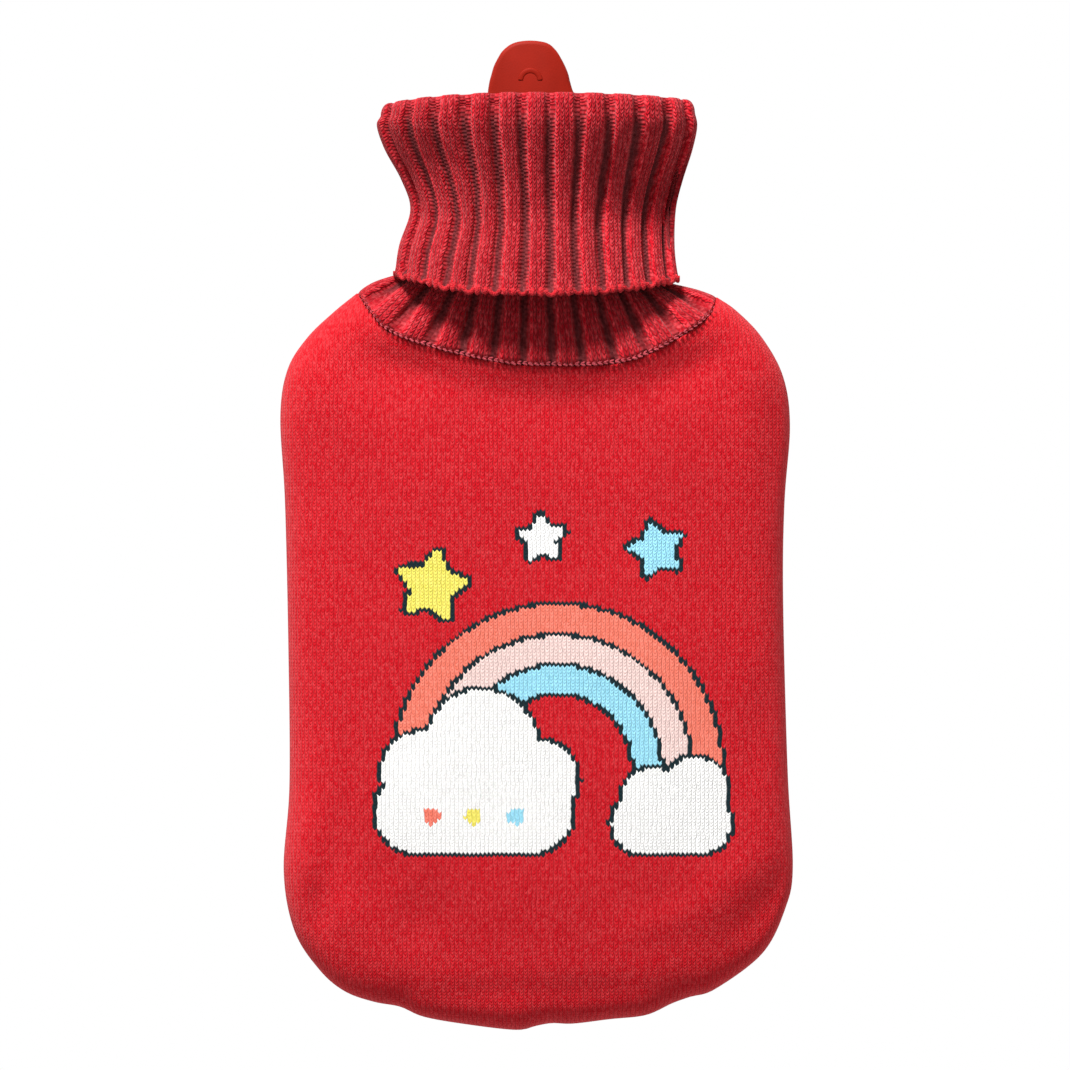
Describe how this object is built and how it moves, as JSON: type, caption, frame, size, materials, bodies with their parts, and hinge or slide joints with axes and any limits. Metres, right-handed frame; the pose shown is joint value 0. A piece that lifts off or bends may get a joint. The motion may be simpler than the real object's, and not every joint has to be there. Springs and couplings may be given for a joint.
{
  "type": "knitted hot water bottle cover with bottle neck",
  "caption": "Knitted cover for a hot water bottle, lying on its back: rounded body panels, a ribbed roll collar folded into a cuff, and the rubber neck with its hanging tab showing above it.",
  "frame": {"origin": "middle of the object's outline, on the surface under its back", "axes": "+Z out of the front panel, away from the surface; +Y from the bottom edge towards the collar"},
  "size_m": [0.1967, 0.3798, 0.055],
  "materials": {
    "body_knit": "plain acrylic knit with a knitted-in picture",
    "back_knit": "plain acrylic knit",
    "rib_knit": "ribbed acrylic knit",
    "rubber": "satin moulded rubber"
  },
  "bodies": {
    "root": {"front_panel": "body_knit", "back_panel": "back_knit", "neck_rib": "rib_knit", "bottle_mouth": "rubber"}
  },
  "joints": []
}
